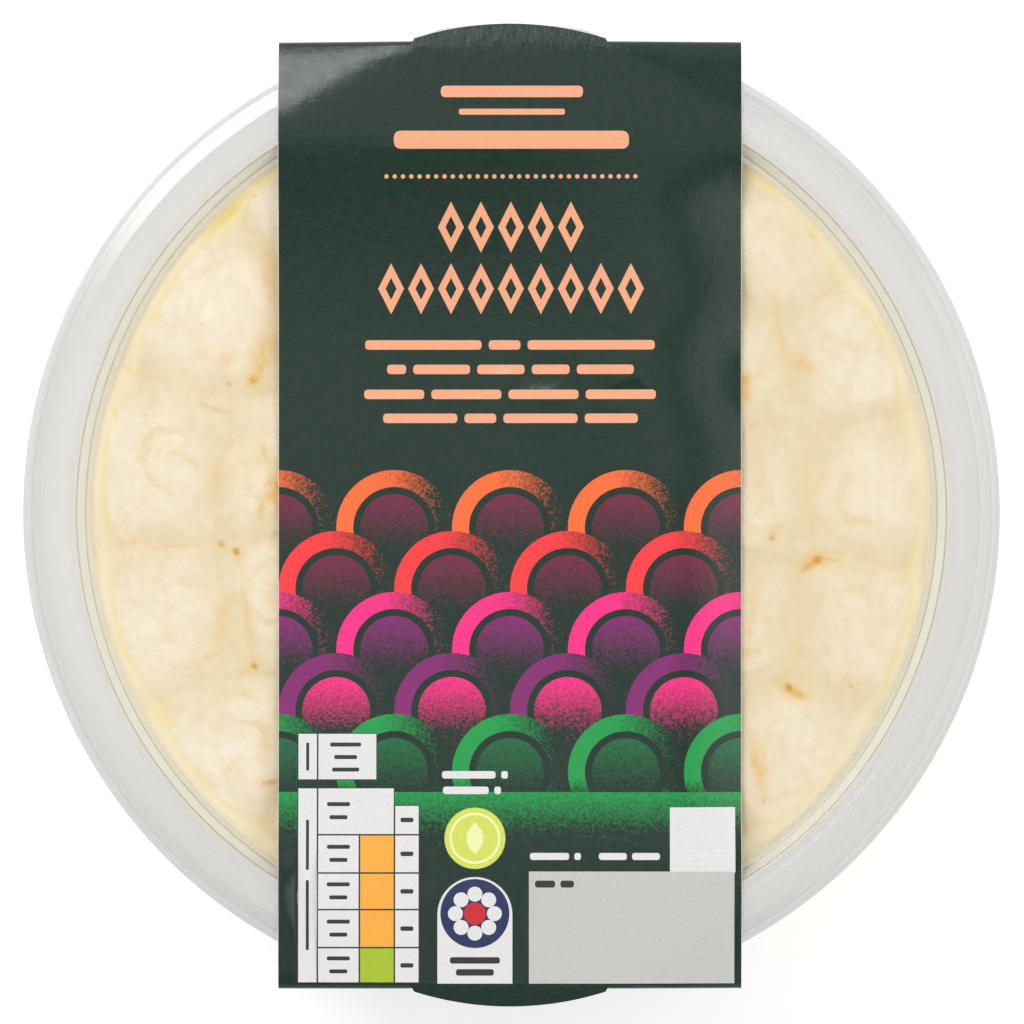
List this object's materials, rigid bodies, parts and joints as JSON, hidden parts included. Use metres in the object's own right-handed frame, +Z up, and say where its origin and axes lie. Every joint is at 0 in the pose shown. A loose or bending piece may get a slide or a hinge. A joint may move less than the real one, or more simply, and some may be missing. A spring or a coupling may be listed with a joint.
{
  "type": "boxed trifle",
  "caption": "Layered trifle of sponge, jelly, custard and piped cream in a round clear tub with a press-on lid and a card sleeve round the middle.",
  "frame": {"origin": "under the middle of the tub, on the surface that the sleeve's base stands on", "axes": "+Z up, Y along the sleeve's length with -Y at the foot of the printed panel, +X to the right of that panel seen from above"},
  "size_m": [0.1958, 0.1967, 0.065],
  "materials": {
    "tub_plastic": "clear thermoformed plastic, slightly hazy",
    "lid_plastic": "clear thermoformed plastic, glossy with a faint haze",
    "soaked_sponge": "open crumb, soaked and moist",
    "fruit_jelly": "wet, translucent red jelly",
    "vanilla_custard": "smooth, satin, set custard",
    "whipped_cream": "soft piped cream, satin",
    "printed_card": "dark printed card with a light varnish"
  },
  "bodies": {
    "root": {"tub": "tub_plastic", "lid": "lid_plastic", "sponge": "soaked_sponge", "jelly": "fruit_jelly", "custard": "vanilla_custard", "cream": "whipped_cream", "sleeve": "printed_card"}
  },
  "joints": []
}
